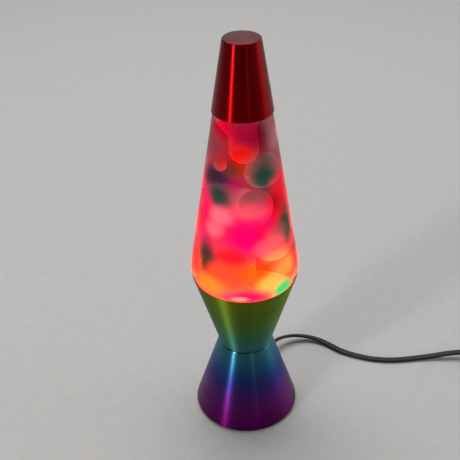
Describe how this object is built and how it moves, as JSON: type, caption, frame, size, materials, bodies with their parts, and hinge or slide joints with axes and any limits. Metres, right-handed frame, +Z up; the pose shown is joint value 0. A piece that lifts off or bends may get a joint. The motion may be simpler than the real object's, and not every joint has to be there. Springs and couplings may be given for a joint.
{
  "type": "liquid motion lamp",
  "caption": "Table lamp with a tapered sealed globe of clear liquid and drifting wax, on an hourglass base of two spun cones, with a lift-off cap, screw-in bulb and corded switch.",
  "frame": {"origin": "centre of the round base at the table's surface", "axes": "+Z up along the lamp's axis, -Y towards the viewer of the picture, +X to that viewer's right"},
  "size_m": [0.4262, 0.1327, 0.368],
  "materials": {
    "anodised_base": "turned and anodised, lime to violet",
    "anodised_cap": "turned and anodised, deep red",
    "plated_steel": "zinc plated",
    "brass_parts": "plain",
    "phenolic": "moulded",
    "black_plastic": "moulded, fine grain",
    "black_gloss": "smooth moulded",
    "cord_vinyl": "satin vinyl",
    "foot_rubber": "matt",
    "lead_vinyl": "satin vinyl",
    "clear_glass": "clear with dye-painted outside",
    "bulb_frost": "frosted",
    "clear_liquid": "clear liquid",
    "white_wax": "white wax, lit from below",
    "heat_wire": "bright wire",
    "crown_tin": "lacquered tin",
    "liner_foam": "soft liner"
  },
  "bodies": {
    "base": {"lower_cone": "anodised_base", "upper_cone": "anodised_base", "waist_rivets": "plated_steel", "socket_bracket": "plated_steel", "socket_body": "phenolic", "socket_ring": "phenolic", "socket_shell": "brass_parts", "socket_contact": "brass_parts", "terminal_screws": "brass_parts", "inner_leads": "lead_vinyl", "bottom_cover": "black_plastic", "rubber_feet": "foot_rubber", "cord_gland": "cord_vinyl", "cord_run": "cord_vinyl", "cord_link": "cord_vinyl", "cord_coil": "cord_vinyl", "cord_tail": "cord_vinyl", "coil_tie": "black_plastic", "switch_lower_shell": "black_gloss", "switch_upper_shell": "black_gloss", "switch_screw": "plated_steel", "plug_body": "cord_vinyl", "plug_blades": "brass_parts"},
    "thumbwheel": {"switch_wheel": "black_gloss"},
    "bulb_foot": {"bulb_tip": "brass_parts"},
    "bulb": {"bulb_insulator": "phenolic", "bulb_cap": "brass_parts", "bulb_glass": "bulb_frost", "bulb_stem": "bulb_frost", "bulb_leads": "heat_wire", "bulb_filament": "heat_wire"},
    "globe": {"globe_glass": "clear_glass", "liquid": "clear_liquid", "heat_coil": "heat_wire", "wax_pool": "white_wax", "wax_top_mass": "white_wax", "crown_cap": "crown_tin", "crown_liner": "liner_foam"},
    "cap": {"top_cap": "anodised_cap"},
    "small_blob": {"wax_small_blob": "white_wax"},
    "right_blob": {"wax_right_blob": "white_wax"},
    "centre_blob": {"wax_centre_blob": "white_wax"},
    "low_blob": {"wax_low_blob": "white_wax"}
  },
  "joints": [
    {"name": "globe_lift", "type": "slide", "parent": "base", "child": "globe", "axis": [0, 0, 1], "range_m": [0, 0.06]},
    {"name": "cap_lift", "type": "slide", "parent": "globe", "child": "cap", "axis": [0, 0, 1], "range_m": [0, 0.065]},
    {"name": "bulb_rise", "type": "slide", "parent": "base", "child": "bulb_foot", "axis": [0, 0, 1], "range_m": [0, 0.0086]},
    {"name": "bulb_turn", "type": "hinge", "parent": "bulb_foot", "child": "bulb", "pos_m": [0, 0, 0.05], "axis": [0, 0, 1], "range_deg": [0, 1080]},
    {"name": "wheel_turn", "type": "hinge", "parent": "base", "child": "thumbwheel", "pos_m": [0.26, 0.0507, 0.007], "axis": [0, 0, 1], "continuous": true},
    {"name": "small_blob_drift", "type": "slide", "parent": "globe", "child": "small_blob", "axis": [0, 0, 1], "range_m": [-0.018, 0.0015], "deforming": ["liquid"]},
    {"name": "right_blob_drift", "type": "slide", "parent": "globe", "child": "right_blob", "axis": [0, 0, 1], "range_m": [-0.006, 0.0012], "deforming": ["liquid"]},
    {"name": "centre_blob_drift", "type": "slide", "parent": "globe", "child": "centre_blob", "axis": [0, 0, 1], "range_m": [-0.0052, 0.002], "deforming": ["liquid"]},
    {"name": "low_blob_drift", "type": "slide", "parent": "globe", "child": "low_blob", "axis": [0, 0, 1], "range_m": [-0.02, 0.0012], "deforming": ["liquid"]}
  ],
  "couplings": [
    {"joint": "bulb_rise", "follows": "bulb_turn", "m_per_rad": 0.00044882}
  ]
}
